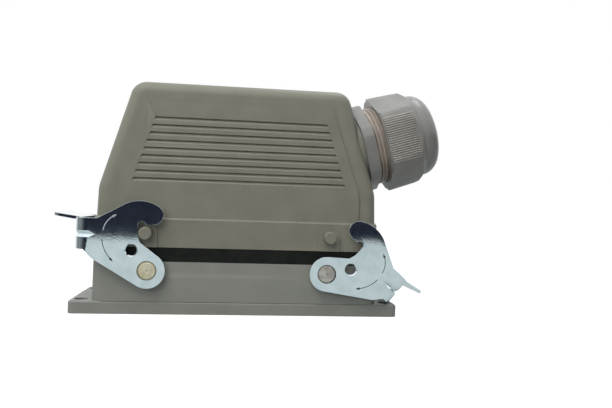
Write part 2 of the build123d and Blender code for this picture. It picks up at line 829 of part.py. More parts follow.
with BuildPart() as female_insert:
    with BuildSketch(Plane.XY.offset(female_bottom)):
        RectangleRounded(insert_block_length, insert_width, insert_corner_radius)
    extrude(amount=female_flange_top - female_bottom)
    with BuildSketch(Plane.XY.offset(ledge_height)):
        RectangleRounded(insert_length, insert_width, insert_corner_radius)
    extrude(amount=insert_flange)
    with BuildSketch(Plane.XY.offset(female_flange_top)):
        RectangleRounded(female_block_length, female_block_width, insert_corner_radius)
    extrude(amount=female_top - female_flange_top)
    extrude(side_windows(female_screw_height), amount=insert_width, both=True, mode=Mode.SUBTRACT)
    with BuildSketch(Plane.XY.offset(female_bottom)):
        with contact_grid():
            Rectangle(chamber_size, chamber_size)
    extrude(amount=female_top - female_bottom, mode=Mode.SUBTRACT)
    extrude(flange_holes(ledge_height), amount=insert_flange, mode=Mode.SUBTRACT)

female_insert.part.label = "female_insert"
export_step(female_insert.part, "parts/female_insert.step")


# Contact sockets: square terminal bodies with a round socket from the mating face
contact_size = chamber_size - 2 * contact_clearance
pin_tip = male_face - pin_contact_length

with BuildPart() as female_contacts:
    with BuildSketch(Plane.XY.offset(female_bottom + contact_clearance)):
        with contact_grid():
            Rectangle(contact_size, contact_size)
    extrude(amount=female_top - female_bottom - 2 * contact_clearance)
    with BuildSketch(Plane.XY.offset(pin_tip - socket_overrun)):
        with contact_grid():
            hidden_round(pin_contact_diameter + 2 * socket_clearance)
    extrude(amount=female_top - pin_tip + socket_overrun, mode=Mode.SUBTRACT)

female_contacts.part.label = "female_contacts"
export_step(female_contacts.part, "parts/female_contacts.step")


# Male insert in the hood: terminal block, end flanges, skirt round the mating block
with BuildPart() as male_insert:
    with BuildSketch(Plane.XY.offset(male_face)):
        RectangleRounded(insert_block_length, insert_width, insert_corner_radius)
    extrude(amount=male_top - male_face)
    with BuildSketch(Plane.XY.offset(male_face)):
        RectangleRounded(insert_length, insert_width, insert_corner_radius)
    extrude(amount=insert_flange)
    with BuildSketch(Plane.XY.offset(male_skirt_bottom)):
        RectangleRounded(insert_block_length, insert_width, insert_corner_radius)
        Rectangle(
            insert_block_length - 2 * male_skirt_wall,
            insert_width - 2 * male_skirt_wall,
            mode=Mode.SUBTRACT,
        )
    extrude(amount=male_face - male_skirt_bottom)
    extrude(side_windows(male_screw_height), amount=insert_width, both=True, mode=Mode.SUBTRACT)
    with BuildSketch(Plane.XY.offset(male_face)):
        with contact_grid():
            Rectangle(chamber_size, chamber_size)
    extrude(amount=male_top - male_face, mode=Mode.SUBTRACT)
    extrude(flange_holes(male_face), amount=insert_flange, mode=Mode.SUBTRACT)

male_insert.part.label = "male_insert"
export_step(male_insert.part, "parts/male_insert.step")


# Contact pins: square terminal bodies with a pin towards the base
with BuildPart() as male_contacts:
    with BuildSketch(Plane.XY.offset(male_face + contact_clearance)):
        with contact_grid():
            Rectangle(contact_size, contact_size)
    extrude(amount=male_top - male_face - 2 * contact_clearance)
    with BuildSketch(Plane.XY.offset(pin_tip)):
        with contact_grid():
            hidden_round(pin_contact_diameter)
    extrude(amount=pin_contact_length + contact_clearance)

male_contacts.part.label = "male_contacts"
export_step(male_contacts.part, "parts/male_contacts.step")


def terminal_screws(height):
    """Wire clamping screws of one insert, entering the contacts' terminals from both long sides."""
    seat = contact_row_pitch / 2 + contact_size / 2 + screw_clearance
    with BuildPart() as screws:
        for side in (-1, 1):
            with BuildSketch(Plane.XZ.offset(side * seat)):
                with Locations((0, height)):
                    with GridLocations(contact_pitch, 1, contact_columns, 1):
                        hidden_round(terminal_screw_diameter)
            extrude(amount=side * terminal_screw_length)
    return screws


female_terminal_screws = terminal_screws(female_screw_height)
female_terminal_screws.part.label = "female_terminal_screws"
export_step(female_terminal_screws.part, "parts/female_terminal_screws.step")

male_terminal_screws = terminal_screws(male_screw_height)
male_terminal_screws.part.label = "male_terminal_screws"
export_step(male_terminal_screws.part, "parts/male_terminal_screws.step")


# Earth plates on the inserts' end flanges
plate_start = insert_block_length / 2 + contact_clearance
plate_middle = plate_start + plate_length / 2
blade_start = plate_start + earth_clip_thickness + 2 * contact_clearance

with BuildPart() as female_ground_plates:
    for end in (-1, 1):
        with BuildSketch(Plane.XY.offset(female_flange_top)):
            with Locations((end * plate_middle, 0)):
                Rectangle(plate_length, plate_width)
        extrude(amount=plate_thickness)
        tongues = (
            plate_start + earth_clip_thickness / 2,
            blade_start + plate_thickness + contact_clearance + earth_clip_thickness / 2,
        )
        with BuildSketch(Plane.XY.offset(female_flange_top)):
            with Locations(*[(end * tongue, 0) for tongue in tongues]):
                Rectangle(earth_clip_thickness, earth_blade_width)
        extrude(amount=earth_clip_height)
    extrude(flange_holes(female_flange_top), amount=plate_thickness, mode=Mode.SUBTRACT)

female_ground_plates.part.label = "female_ground_plates"
export_step(female_ground_plates.part, "parts/female_ground_plates.step")

with BuildPart() as male_ground_plates:
    for end in (-1, 1):
        with BuildSketch(Plane.XY.offset(male_face)):
            with Locations((end * plate_middle, 0)):
                Rectangle(plate_length, plate_width)
        extrude(amount=-plate_thickness)
        with BuildSketch(Plane.XY.offset(male_face)):
            with Locations((end * (blade_start + plate_thickness / 2), 0)):
                Rectangle(plate_thickness, earth_blade_width)
        extrude(amount=-earth_blade_length)
    extrude(flange_holes(male_face), amount=-plate_thickness, mode=Mode.SUBTRACT)

male_ground_plates.part.label = "male_ground_plates"
export_step(male_ground_plates.part, "parts/male_ground_plates.step")


def headed_screws(seat, direction, places, diameter, length, head, head_height):
    """Screws standing on a plate: heads on its face, shanks through it."""
    with BuildPart() as screws:
        with BuildSketch(Plane.XY.offset(seat)):
            with Locations(*places):
                hidden_round(head)
        extrude(amount=direction * head_height)
        with BuildSketch(Plane.XY.offset(seat)):
            with Locations(*places):
                hidden_round(diameter)
        extrude(amount=-direction * length)
    return screws


insert_screw_places = [
    (along * insert_fixing_x / 2, across * insert_fixing_y / 2) for along in (-1, 1) for across in (-1, 1)
]
female_plate_top = female_flange_top + plate_thickness
male_plate_bottom = male_face - plate_thickness
insert_screw_sizes = (insert_screw_diameter, insert_screw_length, insert_screw_head, insert_screw_head_height)
earth_screw_sizes = (earth_screw_diameter, earth_screw_length, earth_screw_head, earth_screw_head_height)

female_insert_screws = headed_screws(female_plate_top, 1, insert_screw_places, *insert_screw_sizes)
female_insert_screws.part.label = "female_insert_screws"
export_step(female_insert_screws.part, "parts/female_insert_screws.step")

male_insert_screws = headed_screws(male_plate_bottom, -1, insert_screw_places, *insert_screw_sizes)
male_insert_screws.part.label = "male_insert_screws"
export_step(male_insert_screws.part, "parts/male_insert_screws.step")

female_ground_screws = headed_screws(female_plate_top, 1, earth_screw_places, *earth_screw_sizes)
female_ground_screws.part.label = "female_ground_screws"
export_step(female_ground_screws.part, "parts/female_ground_screws.step")

male_ground_screws = headed_screws(male_plate_bottom, -1, earth_screw_places, *earth_screw_sizes)
male_ground_screws.part.label = "male_ground_screws"
export_step(male_ground_screws.part, "parts/male_ground_screws.step")


# Flat washer between the gland's hexagon and the hood's pad
gland_hex_start = gland_pad_height + gland_washer_thickness
gland_neck_start = gland_hex_start + gland_hex_length
claw_start = gland_neck_start + gland_neck_length
claw_end = claw_start + claw_length

with BuildPart() as gland_washer:
    with BuildSketch(gland_plane(gland_pad_height)):
        Circle(gland_washer_diameter / 2)
        Circle(gland_entry_diameter / 2 + gland_entry_clearance, mode=Mode.SUBTRACT)
    extrude(amount=gland_washer_thickness)

gland_washer.part.label = "gland_washer"
export_step(gland_washer.part, "parts/gland_washer.step")


# Gland body: threaded entry, hexagon, threaded neck, clamping claws, cable bore
with BuildPart() as gland_body:
    with BuildSketch(gland_plane(gland_pad_height - gland_entry_length)):
        Circle(gland_entry_diameter / 2)
    extrude(amount=gland_entry_length + gland_washer_thickness)
    with BuildSketch(gland_plane(gland_hex_start)):
        RegularPolygon(gland_hex_across_flats / 2, 6, major_radius=False, rotation=gland_hex_turn)
        Circle(gland_hex_diameter / 2, mode=Mode.INTERSECT)
    extrude(amount=gland_hex_length)
    with BuildSketch(gland_plane(gland_neck_start)):
        Circle(gland_neck_diameter / 2)
    extrude(amount=gland_neck_length)
    with BuildSketch(gland_plane(claw_start)):
        Circle(claw_diameter / 2)
    extrude(amount=claw_length)
    with BuildSketch(gland_plane(gland_pad_height - gland_entry_length)):
        Circle(gland_bore_diameter / 2)
    extrude(amount=gland_entry_length + claw_end, mode=Mode.SUBTRACT)
    with BuildSketch(gland_plane(seal_bush_start)):
        Circle(claw_bore_diameter / 2)
    extrude(amount=claw_end, mode=Mode.SUBTRACT)
    with BuildSketch(gland_plane(claw_start + claw_slot)):
        with PolarLocations(0, claw_count):
            Rectangle(claw_diameter, claw_slot, align=(Align.MIN, Align.CENTER))
    extrude(amount=claw_length, mode=Mode.SUBTRACT)

gland_body.part.label = "gland_body"
export_step(gland_body.part, "parts/gland_body.step")


# Rubber bush that grips the cable
with BuildPart() as gland_seal:
    with BuildSketch(gland_plane(seal_bush_start + contact_clearance)):
        Circle(seal_bush_diameter / 2)
        Circle(seal_bush_bore / 2, mode=Mode.SUBTRACT)
    extrude(amount=claw_end - seal_bush_start)

gland_seal.part.label = "gland_seal"
export_step(gland_seal.part, "parts/gland_seal.step")


# Clamping nut: hexagon with rounded corners and shoulders, domed end with the cable mouth
nut_half_plane = Plane(origin=gland_centre + gland_out * nut_start, x_dir=gland_out, z_dir=(0, -1, 0))
nut_length = nut_hex_length + nut_shoulder_length + nut_dome_length
dome_start = nut_hex_length + nut_shoulder_length
claw_room = claw_end - nut_start + nut_clearance
neck_room = nut_bore_diameter / 2
mouth = nut_mouth_diameter / 2

with BuildPart() as gland_nut:
    with BuildSketch(gland_plane(nut_start)):
        RegularPolygon(nut_across_flats / 2, 6, major_radius=False, rotation=nut_hex_turn)
        Circle(nut_diameter / 2, mode=Mode.INTERSECT)
    extrude(amount=dome_start)
    with BuildSketch(nut_half_plane):
        Polygon(
            (0, 0),
            (0, nut_diameter / 2 - nut_chamfer),
            (nut_chamfer, nut_diameter / 2),
            (nut_hex_length, nut_diameter / 2 - nut_corner_taper),
            (dome_start, nut_dome_diameter / 2),
            (dome_start, 0),
            align=None,
        )
    revolve(axis=gland_axis, mode=Mode.INTERSECT)
    dome_edge = Vector(dome_start, nut_dome_diameter / 2)
    dome_end = Vector(nut_length, nut_end_diameter / 2)
    dome_middle = (dome_edge + dome_end) / 2
    along = (dome_end - dome_edge).normalized()
    dome_crest = dome_middle + Vector(-along.Y, along.X) * nut_dome_bulge
    with BuildSketch(nut_half_plane):
        with BuildLine():
            Polyline((nut_length, nut_end_diameter / 2), (nut_length, 0), (dome_start, 0), dome_edge)
            ThreePointArc(dome_edge, dome_crest, dome_end)
        make_face()
    revolve(axis=gland_axis)
    with BuildSketch(nut_half_plane):
        Polygon(
            (-cut_overrun, 0),
            (-cut_overrun, neck_room),
            (claw_start - nut_start + nut_clearance, neck_room),
            (claw_room, claw_diameter / 2 + nut_clearance),
            (nut_length - nut_wall, mouth),
            (nut_length + cut_overrun, mouth),
            (nut_length + cut_overrun, 0),
            align=None,
        )
    revolve(axis=gland_axis, mode=Mode.SUBTRACT)

gland_nut.part.label = "gland_nut"
export_step(gland_nut.part, "parts/gland_nut.step")
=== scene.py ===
from math import atan2, cos, hypot, pi, radians, sin, sqrt

import bmesh
import bpy
from mathutils import Matrix, Vector


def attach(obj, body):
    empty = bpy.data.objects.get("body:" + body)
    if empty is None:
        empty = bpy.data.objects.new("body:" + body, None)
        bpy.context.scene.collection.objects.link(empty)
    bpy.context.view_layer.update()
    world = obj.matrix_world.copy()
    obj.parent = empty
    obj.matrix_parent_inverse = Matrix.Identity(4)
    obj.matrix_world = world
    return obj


# Metres. X runs along the connector to the gland, Y is its depth, Z is up.
MM = 0.001

# Places and sizes that the dressing shares with the solids
PIVOT_X = 37.6 * MM
PIVOT_Z = 18.45 * MM
CHEEK_FACE = 25.0 * MM
RIGHT_LEVER_OPENING = radians(40)
GLAND_CENTRE = Vector((53.25, 0, 73.9)) * MM
GLAND_LEAN = radians(16.5)
THREAD_ROOT = 17.3 * MM
THREAD_DEPTH = 0.55 * MM
THREAD_PITCH = 1.8 * MM
THREAD_START = 6.0 * MM
THREAD_END = 21.0 * MM
NECK_START = 5.85 * MM
NUT_START = 10.5 * MM
NUT_FLAT = 19.9 * MM
NUT_ROUND = 22.0 * MM
NUT_ROUND_TAPER = 0.7 * MM
NUT_HEX_LENGTH = 14.7 * MM

# Dressing of its own
RIB_PITCH = 1.0 * MM
RIB_HEIGHT = 0.38 * MM
RIB_COUNT = 21
RIB_REAR_GAP = 0.6 * MM
RIB_FRONT_GAP = 0.3 * MM
RIB_END_TAPER = 0.4 * MM
ROOT_SINK = 0.05 * MM
THREAD_STEPS_PER_TURN = 72
THREAD_RUN_OUT_STEPS = 18
MARK_LIFT = 0.03 * MM
MARK_WIDTH = 0.3 * MM
MARK_STEPS = 20
ARROW_TIP = 1.2 * MM
ARROW_BARB = 0.9 * MM
ARROW_BARB_TURN = 2.45

# Treatment of the solids' edges
WELD_DISTANCE = 0.002 * MM
FLAT_ANGLE = radians(0.5)
EDGE_ANGLE = radians(32)

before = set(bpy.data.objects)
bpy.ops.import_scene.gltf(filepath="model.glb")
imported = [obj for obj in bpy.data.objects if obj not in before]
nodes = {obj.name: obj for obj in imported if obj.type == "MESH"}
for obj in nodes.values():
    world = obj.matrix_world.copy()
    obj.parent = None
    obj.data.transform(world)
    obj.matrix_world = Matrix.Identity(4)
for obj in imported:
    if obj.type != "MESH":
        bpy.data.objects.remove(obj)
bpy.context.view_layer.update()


# Materials

class Surface:
    """A procedural material under construction, laid out from the object's own coordinates."""

    def __init__(self, name, metallic=0.0):
        self.material = bpy.data.materials.new(name)
        self.material.use_nodes = True
        self.tree = self.material.node_tree
        self.shader = self.tree.nodes["Principled BSDF"]
        self.shader.inputs["Metallic"].default_value = metallic
        self.place = self.tree.nodes.new("ShaderNodeTexCoord").outputs["Object"]

    def add(self, kind, **settings):
        node = self.tree.nodes.new(kind)
        for key, value in settings.items():
            setattr(node, key, value)
        return node

    def link(self, source, target):
        self.tree.links.new(source, target)

    def noise(self, size, detail=3.0, stretch=(1, 1, 1)):
        """Noise whose features measure about size, in metres; returns its 0..1 factor."""
        scale = self.add("ShaderNodeMapping")
        scale.inputs["Scale"].default_value = [s / size for s in stretch]
        self.link(self.place, scale.inputs["Vector"])
        noise = self.add("ShaderNodeTexNoise")
        noise.inputs["Scale"].default_value = 1.0
        noise.inputs["Detail"].default_value = detail
        self.link(scale.outputs["Vector"], noise.inputs["Vector"])
        return noise.outputs["Factor"] if "Factor" in noise.outputs else noise.outputs["Fac"]

    def spread(self, factor, low, high, low_at=0.35, high_at=0.65):
        """A value that runs from low to high as the factor passes its two marks."""
        reach = self.add("ShaderNodeMapRange")
        reach.inputs["From Min"].default_value = low_at
        reach.inputs["From Max"].default_value = high_at
        reach.inputs["To Min"].default_value = low
        reach.inputs["To Max"].default_value = high
        self.link(factor, reach.inputs["Value"])
        return reach.outputs["Result"]

    def blend(self, factor, first, second):
        """A colour between two colours, each a tuple or a socket."""
        mix = self.add("ShaderNodeMix", data_type="RGBA")
        for socket, colour in ((mix.inputs["A"], first), (mix.inputs["B"], second)):
            if isinstance(colour, tuple):
                socket.default_value = (*colour, 1)
            else:
                self.link(colour, socket)
        self.link(factor, mix.inputs["Factor"])
        return mix.outputs["Result"]

    def sum(self, first, second, operation="ADD"):
        node = self.add("ShaderNodeMath", operation=operation)
        for socket, value in zip(node.inputs, (first, second)):
            if isinstance(value, (int, float)):
                socket.default_value = value
            else:
                self.link(value, socket)
        return node.outputs["Value"]

    def worn_edges(self, low_at=0.52, high_at=0.62):
        """0 on flat ground, 1 on outer edges."""
        geometry = self.add("ShaderNodeNewGeometry")
        return self.spread(geometry.outputs["Pointiness"], 0, 1, low_at, high_at)

    def finish(self, colour, roughness, bump=None, bump_height=0.0):
        self.link(colour, self.shader.inputs["Base Color"])
        self.link(roughness, self.shader.inputs["Roughness"])
        if bump is not None:
            relief = self.add("ShaderNodeBump")
            relief.inputs["Strength"].default_value = 1.0
            relief.inputs["Distance"].default_value = bump_height
            self.link(bump, relief.inputs["Height"])
            self.link(relief.outputs["Normal"], self.shader.inputs["Normal"])
        return self.material


def powder_coat(name, dark, light):
    """Satin paint on a casting: fine orange peel, cloudy tone, lighter edges."""
    s = Surface(name)
    cloud = s.noise(9 * MM, detail=4)
    grain = s.noise(0.35 * MM, detail=2)
    pale = tuple(1.35 * tone for tone in light)
    base = s.blend(s.spread(cloud, 0, 1), dark, light)
    speck = s.blend(s.spread(grain, 0, 0.35, 0.45, 0.75), base, pale)
    colour = s.blend(s.spread(s.worn_edges(), 0, 0.5, 0, 1), speck, pale)
    peel = s.noise(0.9 * MM, detail=2)
    return s.finish(colour, s.spread(cloud, 0.40, 0.50), peel, 0.02 * MM)


def moulded_plastic(name, dark, light):
    """Moulded nylon with a faint flow pattern and fine sparked skin."""
    s = Surface(name)
    flow = s.noise(7 * MM, detail=3)
    skin = s.noise(0.25 * MM, detail=2)
    colour = s.blend(s.spread(flow, 0, 1), dark, light)
    return s.finish(colour, s.spread(flow, 0.28, 0.35), skin, 0.007 * MM)


def gland_two_tone():
    """The gland body's grey hexagon and the warmer, unpainted tone of its neck."""
    s = Surface("gland_two_tone")
    offset = s.add("ShaderNodeVectorMath", operation="SUBTRACT")
    s.link(s.place, offset.inputs[0])
    offset.inputs[1].default_value = GLAND_CENTRE
    along = s.add("ShaderNodeVectorMath", operation="DOT_PRODUCT")
    s.link(offset.outputs["Vector"], along.inputs[0])
    along.inputs[1].default_value = (cos(GLAND_LEAN), 0, sin(GLAND_LEAN))
    neck = s.sum(along.outputs["Value"], NECK_START, "GREATER_THAN")
    flow = s.noise(7 * MM, detail=3)
    skin = s.noise(0.25 * MM, detail=2)
    grey = s.blend(s.spread(flow, 0, 1), *GLAND_TONES)
    warm = s.blend(s.spread(flow, 0, 1), *THREAD_TONES)
    return s.finish(s.blend(neck, grey, warm), s.spread(flow, 0.32, 0.40), skin, 0.012 * MM)


def bright_zinc():
    """Bluish zinc plating on pressed steel: cloudy shine, fine grit and rolling lines."""
    s = Surface("bright_zinc", metallic=1.0)
    cloud = s.noise(5 * MM, detail=4)
    grit = s.noise(0.7 * MM, detail=3)
    rolling = s.noise(0.5 * MM, detail=2, stretch=(1, 1, 8))
    colour = s.blend(s.spread(cloud, 0, 1), (0.70, 0.78, 0.80), (0.82, 0.88, 0.90))
    rough = s.sum(s.spread(cloud, 0.035, 0.06), s.spread(rolling, 0, 0.02))
    return s.finish(colour, rough, grit, 0.005 * MM)


def turned_metal():
    """Ends of the pivot pins: turning rings about each pin's axis, centre dimple with painted shade
    darkening its hollow, warm tarnish.
    """
    s = Surface("turned_metal", metallic=0.85)
    split = s.add("ShaderNodeSeparateXYZ")
    s.link(s.place, split.inputs["Vector"])
    side = s.sum(split.outputs["X"], 0.0, "GREATER_THAN")
    along = s.sum(s.sum(split.outputs["X"], 0.0, "ABSOLUTE"), -PIVOT_X)
    up = s.sum(split.outputs["Z"], -PIVOT_Z)
    radius = s.sum(s.sum(s.sum(along, along, "MULTIPLY"), s.sum(up, up, "MULTIPLY")), 0.5, "POWER")
    rings = s.sum(s.sum(radius, 2 * pi / (0.55 * MM), "MULTIPLY"), 0.0, "SINE")
    dimple = s.spread(radius, 0, 1, 0.15 * MM, 0.75 * MM)
    relief = s.sum(s.sum(dimple, 8.0, "MULTIPLY"), s.sum(rings, 0.35, "MULTIPLY"))
    tarnish = s.noise(2.2 * MM, detail=4)
    warm = s.blend(s.spread(tarnish, 0, 1), (0.72, 0.63, 0.42), (0.88, 0.80, 0.60))
    cool = s.blend(s.spread(tarnish, 0, 1), (0.42, 0.38, 0.34), (0.66, 0.62, 0.57))
    # The dark colour blended in towards each pin's centre is painted shade in the centre dimple.
    colour = s.blend(s.spread(dimple, 0.55, 0, 0, 1), s.blend(side, warm, cool), (0.10, 0.08, 0.06))
    return s.finish(colour, s.spread(tarnish, 0.34, 0.46), relief, 0.02 * MM)


def rubber():
    """Black rubber with a faint bloom."""
    s = Surface("black_rubber")
    bloom = s.noise(4 * MM, detail=4)
    skin = s.noise(0.3 * MM, detail=2)
    colour = s.blend(s.spread(bloom, 0, 1), (0.005, 0.006, 0.005), (0.011, 0.012, 0.010))
    s.shader.inputs["Specular IOR Level"].default_value = 0.2
    return s.finish(colour, s.spread(bloom, 0.50, 0.66), skin, 0.02 * MM)


def plated_contact(name, dark, light):
    """Plated contacts and small screws: fine turning marks and light tarnish."""
    s = Surface(name, metallic=1.0)
    tarnish = s.noise(1.6 * MM, detail=4)
    marks = s.noise(0.3 * MM, detail=2, stretch=(1, 1, 5))
    colour = s.blend(s.spread(tarnish, 0, 1), dark, light)
    return s.finish(colour, s.spread(tarnish, 0.26, 0.40), marks, 0.01 * MM)


def stamped_mark(name, dark, light, metallic):
    """Fine stamped lines on the levers, coloured with painted shade where dark and painted highlight
    where pale.
    """
    s = Surface(name, metallic=metallic)
    grit = s.noise(0.3 * MM, detail=3)
    colour = s.blend(s.spread(grit, 0, 1), dark, light)
    return s.finish(colour, s.spread(grit, 0.40, 0.60), grit, 0.01 * MM)


GLAND_TONES = ((0.205, 0.200, 0.188), (0.235, 0.230, 0.218))
THREAD_TONES = ((0.30, 0.255, 0.215), (0.38, 0.325, 0.275))

hood_coat = powder_coat("hood_coat", (0.173, 0.170, 0.134), (0.191, 0.188, 0.149))
base_coat = powder_coat("base_coat", (0.201, 0.204, 0.182), (0.221, 0.224, 0.201))
gland_plastic = moulded_plastic("gland_plastic", *GLAND_TONES)
# The ribs' plastic is the gland's nylon made lighter: painted highlight on the rib crests.
rib_painted_highlight_plastic = moulded_plastic("rib_painted_highlight_plastic", (0.315, 0.296, 0.268), (0.355, 0.335, 0.305))
gland_body_plastic = gland_two_tone()
thread_plastic = moulded_plastic("thread_plastic", *THREAD_TONES)
insert_plastic = moulded_plastic("insert_plastic", (0.42, 0.41, 0.37), (0.50, 0.49, 0.45))
zinc = bright_zinc()
pin_metal = turned_metal()
seal_rubber = rubber()
contact_silver = plated_contact("contact_silver", (0.62, 0.60, 0.55), (0.80, 0.78, 0.72))
screw_zinc = plated_contact("screw_zinc", (0.48, 0.48, 0.47), (0.68, 0.68, 0.67))
# The stamped lines are the levers' own zinc; the dark material is painted shade in their grooves, the
# pale one painted highlight.
mark_painted_shade = stamped_mark("mark_painted_shade", (0.030, 0.034, 0.040), (0.07, 0.08, 0.09), 0.3)
mark_painted_highlight = stamped_mark("mark_painted_highlight", (0.50, 0.53, 0.56), (0.62, 0.65, 0.68), 0.0)

NODE_MATERIALS = {
    "base_housing": base_coat,
    "hood": hood_coat,
    "flange_gasket": seal_rubber,
    "housing_seal": seal_rubber,
    "gland_washer": gland_plastic,
    "gland_seal": seal_rubber,
    "lever_pivot_pins": pin_metal,
    "left_lever": zinc,
    "right_lever": zinc,
    "gland_body": gland_body_plastic,
    "gland_nut": gland_plastic,
    "female_insert": insert_plastic,
    "male_insert": insert_plastic,
    "female_contacts": contact_silver,
    "male_contacts": contact_silver,
    "female_terminal_screws": screw_zinc,
    "male_terminal_screws": screw_zinc,
    "female_ground_plates": screw_zinc,
    "male_ground_plates": screw_zinc,
    "female_ground_screws": screw_zinc,
    "male_ground_screws": screw_zinc,
    "female_insert_screws": screw_zinc,
    "male_insert_screws": screw_zinc,
}

# Width of the softened edges on each node that shows
EDGE_WIDTHS = {
    "base_housing": 0.45 * MM,
    "hood": 0.35 * MM,
    "left_lever": 0.38 * MM,
    "right_lever": 0.38 * MM,
    "gland_body": 0.35 * MM,
    "gland_nut": 0.35 * MM,
    "lever_pivot_pins": 0.2 * MM,
}


def dress_nodes():
    """Gives each solid its material and softens the edges of those that show."""
    for name, material in NODE_MATERIALS.items():
        solid = nodes[name]
        solid.data.materials.clear()
        solid.data.materials.append(material)
    for name, width in EDGE_WIDTHS.items():
        solid = nodes[name]
        if "custom_normal" in solid.data.attributes:
            solid.data.attributes.remove(solid.data.attributes["custom_normal"])
        solid.data.shade_smooth()
        weld = solid.modifiers.new("weld", "WELD")
        weld.merge_threshold = WELD_DISTANCE
        flats = solid.modifiers.new("flats", "DECIMATE")
        flats.decimate_type = "DISSOLVE"
        flats.angle_limit = FLAT_ANGLE
        bevel = solid.modifiers.new("soft_edges", "BEVEL")
        bevel.width = width
        bevel.segments = 2
        bevel.limit_method = "ANGLE"
        bevel.angle_limit = EDGE_ANGLE
        bevel.harden_normals = True


def new_piece(name, mesh_builder, material, body):
    """Makes a mesh object from a bmesh, shaded smooth all over, riding on a body."""
    mesh = bpy.data.meshes.new(name)
    mesh_builder.to_mesh(mesh)
    mesh_builder.free()
    mesh.materials.append(material)
    mesh.shade_smooth()
    piece = bpy.data.objects.new(name, mesh)
    bpy.context.scene.collection.objects.link(piece)
    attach(piece, body)
    return piece


# Gland

gland_out = Vector((cos(GLAND_LEAN), 0, sin(GLAND_LEAN)))
gland_up = Vector((-sin(GLAND_LEAN), 0, cos(GLAND_LEAN)))
gland_side = Vector((0, 1, 0))


def gland_point(along, radius, angle):
    """A point about the gland's axis: angle 0 is up the wall, a quarter turn is +Y."""
    across = gland_up * cos(angle) + gland_side * sin(angle)
    return GLAND_CENTRE + gland_out * along + across * radius


def gland_thread():
    """The neck's right-handed trapezoid thread, as one ridge wound round it."""
    turns = (THREAD_END - THREAD_START - THREAD_PITCH) / THREAD_PITCH
    steps = int(turns * THREAD_STEPS_PER_TURN)
    profile = ((0.02, 0), (0.32, 1), (0.62, 1), (0.92, 0))
    bm = bmesh.new()
    rows = []
    for step in range(steps + 1):
        angle = -2 * pi * step / THREAD_STEPS_PER_TURN
        start = THREAD_START + THREAD_PITCH * step / THREAD_STEPS_PER_TURN
        rise = THREAD_DEPTH * min(1, step / THREAD_RUN_OUT_STEPS, (steps - step) / THREAD_RUN_OUT_STEPS)
        row = []
        for along, height in profile:
            radius = THREAD_ROOT - ROOT_SINK + (rise + ROOT_SINK) * height
            row.append(bm.verts.new(gland_point(start + along * THREAD_PITCH, radius, angle)))
        rows.append(row)
    for near, far in zip(rows, rows[1:]):
        for i in range(len(profile)):
            j = (i + 1) % len(profile)
            bm.faces.new((near[i], near[j], far[j], far[i]))
    bm.faces.new(rows[0][::-1])
    bm.faces.new(rows[-1])
    bmesh.ops.recalc_face_normals(bm, faces=bm.faces)
    new_piece("gland_thread", bm, thread_plastic, "base")


def nut_skin(along, across):
    """Distance of the nut's skin from a flat's middle plane: flat, then its rounded corner."""
    share = (along - NUT_START) / NUT_HEX_LENGTH
    corner = NUT_ROUND - NUT_ROUND_TAPER * share
    return min(NUT_FLAT, sqrt(corner * corner - across * across))


def nut_ribs():
    """Fine grip ribs on alternate flats of the nut, in a lighter copy of the gland plastic that paints
    highlights on their crests.
    """
    start = NUT_START + RIB_REAR_GAP
    end = NUT_START + NUT_HEX_LENGTH - RIB_FRONT_GAP
    profile = ((-0.47, 0), (-0.10, 1), (0.10, 1), (0.47, 0))
    stations = (
        (start, 0.0),
        (start + RIB_END_TAPER, 1.0),
        ((start + end) / 2, 1.0),
        (end - RIB_END_TAPER, 1.0),
        (end, 0.0),
    )
    bm = bmesh.new()
    for face in range(3):
        facing = -pi / 2 + face * 2 * pi / 3
        normal = gland_up * cos(facing) + gland_side * sin(facing)
        across = -gland_up * sin(facing) + gland_side * cos(facing)
        for rib in range(RIB_COUNT):
            middle = (rib - (RIB_COUNT - 1) / 2) * RIB_PITCH
            rows = []
            for along, share in stations:
                row = []
                for offset, crest in profile:
                    place = middle + offset * RIB_PITCH
                    lift = RIB_HEIGHT * share * crest - ROOT_SINK
                    point = GLAND_CENTRE + gland_out * along + normal * (nut_skin(along, place) + lift)
                    row.append(bm.verts.new(point + across * place))
                rows.append(row)
            for near, far in zip(rows, rows[1:]):
                for i in range(len(profile)):
                    j = (i + 1) % len(profile)
                    bm.faces.new((near[i], near[j], far[j], far[i]))
            bm.faces.new(rows[0][::-1])
            bm.faces.new(rows[-1])
    bmesh.ops.recalc_face_normals(bm, faces=bm.faces)
    new_piece("nut_ribs", bm, rib_painted_highlight_plastic, "gland_nut")


# Levers

def lever_frame(side, opening):
    """The lever's own directions: outwards from the housing and up, as turned on its pivot."""
    outwards = Vector((side * cos(opening), 0, -sin(opening)))
    upwards = Vector((side * sin(opening), 0, cos(opening)))
    return Vector((side * PIVOT_X, 0, PIVOT_Z)), outwards, upwards


def ribbon(bm, points, normal, width):
    """A flat strip along a row of points, lying square to the normal."""
    rows = []
    for i, point in enumerate(points):
        ahead = points[min(i + 1, len(points) - 1)] - points[max(i - 1, 0)]
        across = normal.cross(ahead).normalized() * width / 2
        rows.append([bm.verts.new(point + across), bm.verts.new(point - across)])
    for near, far in zip(rows, rows[1:]):
        bm.faces.new((near[0], near[1], far[1], far[0]))


